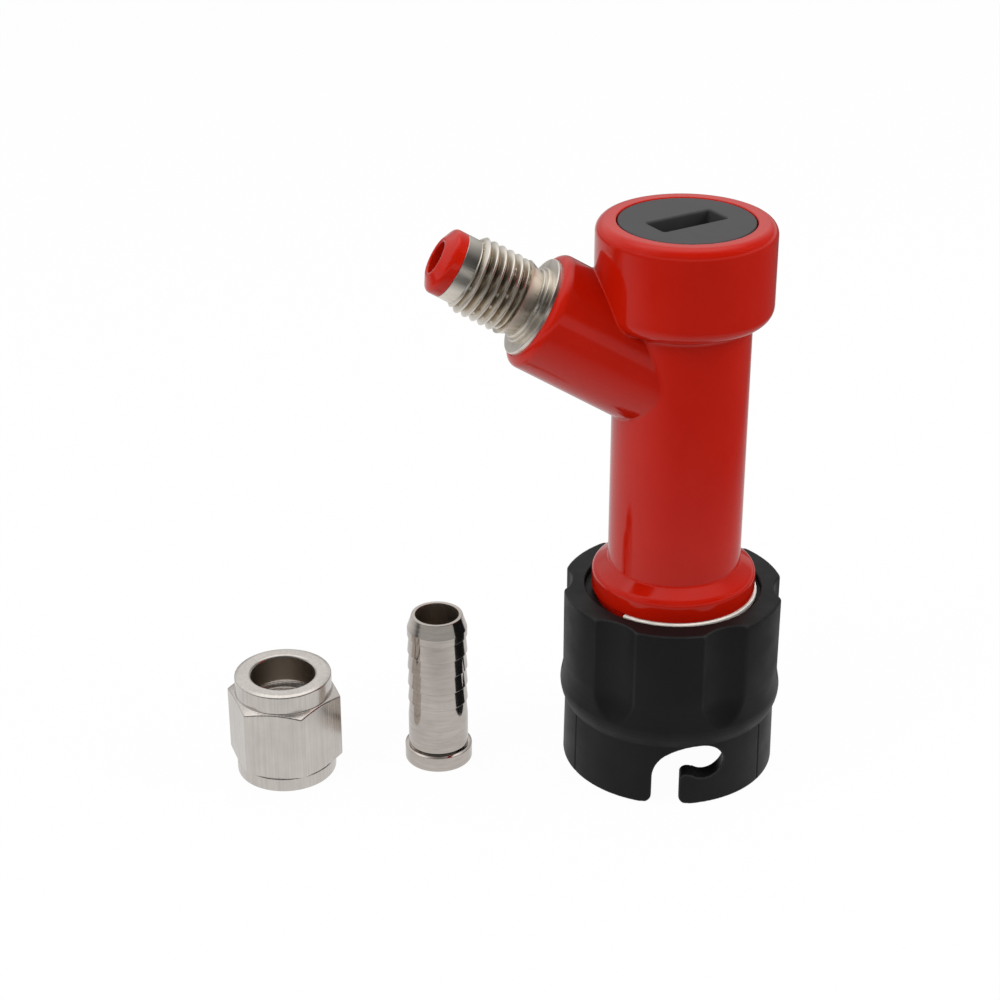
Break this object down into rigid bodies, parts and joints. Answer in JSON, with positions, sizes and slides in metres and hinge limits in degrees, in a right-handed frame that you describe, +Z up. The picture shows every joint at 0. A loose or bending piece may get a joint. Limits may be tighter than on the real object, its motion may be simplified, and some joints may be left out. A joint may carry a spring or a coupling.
{
  "type": "keg disconnect",
  "caption": "Keg disconnect with a moulded body, sprung plunger, angled flare outlet and slotted bayonet collar; swivel nut and barbed hose tail beside it.",
  "frame": {"origin": "centre of the locking collar's standing face, on the column's axis", "axes": "+Z up along the column, the outlet arm towards -X and rising, +Y away from the bayonet slot in front"},
  "size_m": [0.0818, 0.0324, 0.084],
  "materials": {
    "red_plastic": "glossy moulded acetal, red",
    "black_plastic": "satin moulded nylon, near black",
    "grey_plastic": "satin moulded plastic, dark grey",
    "plated_steel": "bright turned metal",
    "nickel": "nickel-plated brass, turned and finely brushed",
    "spring_steel": "bright stainless spring steel",
    "seal_rubber": "food-grade rubber"
  },
  "bodies": {
    "main": {"valve_body": "red_plastic", "flare_sleeve": "plated_steel", "retaining_ring": "spring_steel", "post_socket": "black_plastic", "socket_seal": "seal_rubber", "plunger_spring": "spring_steel"},
    "collar": {"locking_collar": "black_plastic"},
    "plunger": {"plunger": "grey_plastic", "plunger_seal": "seal_rubber"},
    "gasket": {"cap_gasket": "seal_rubber"},
    "cap": {"top_cap": "grey_plastic"},
    "tail": {"hose_tail": "nickel"},
    "nut": {"swivel_nut": "nickel"}
  },
  "joints": [
    {"name": "collar_turn", "type": "hinge", "parent": "main", "child": "collar", "pos_m": [0, 0, 0], "axis": [0, 0, 1], "continuous": true},
    {"name": "plunger_slide", "type": "slide", "parent": "main", "child": "plunger", "axis": [0, 0, 1], "range_m": [0, 0.0035], "stiffness_N_per_m": 1200, "springref_m": -0.004, "deforming": ["plunger_spring"]},
    {"name": "cap_rise", "type": "slide", "parent": "main", "child": "gasket", "axis": [0, 0, 1], "range_m": [0, 0.0055]},
    {"name": "cap_turn", "type": "hinge", "parent": "gasket", "child": "cap", "pos_m": [0, 0, 0.08], "axis": [0, 0, 1], "range_deg": [0, 1296]},
    {"name": "tail_lift", "type": "slide", "parent": "main", "child": "tail", "axis": [0, 0, 1], "range_m": [0, 0.03]},
    {"name": "nut_lift", "type": "slide", "parent": "main", "child": "nut", "axis": [0, 0, 1], "range_m": [0, 0.03]}
  ],
  "couplings": [
    {"joint": "cap_rise", "follows": "cap_turn", "m_per_rad": 0.00023873}
  ]
}
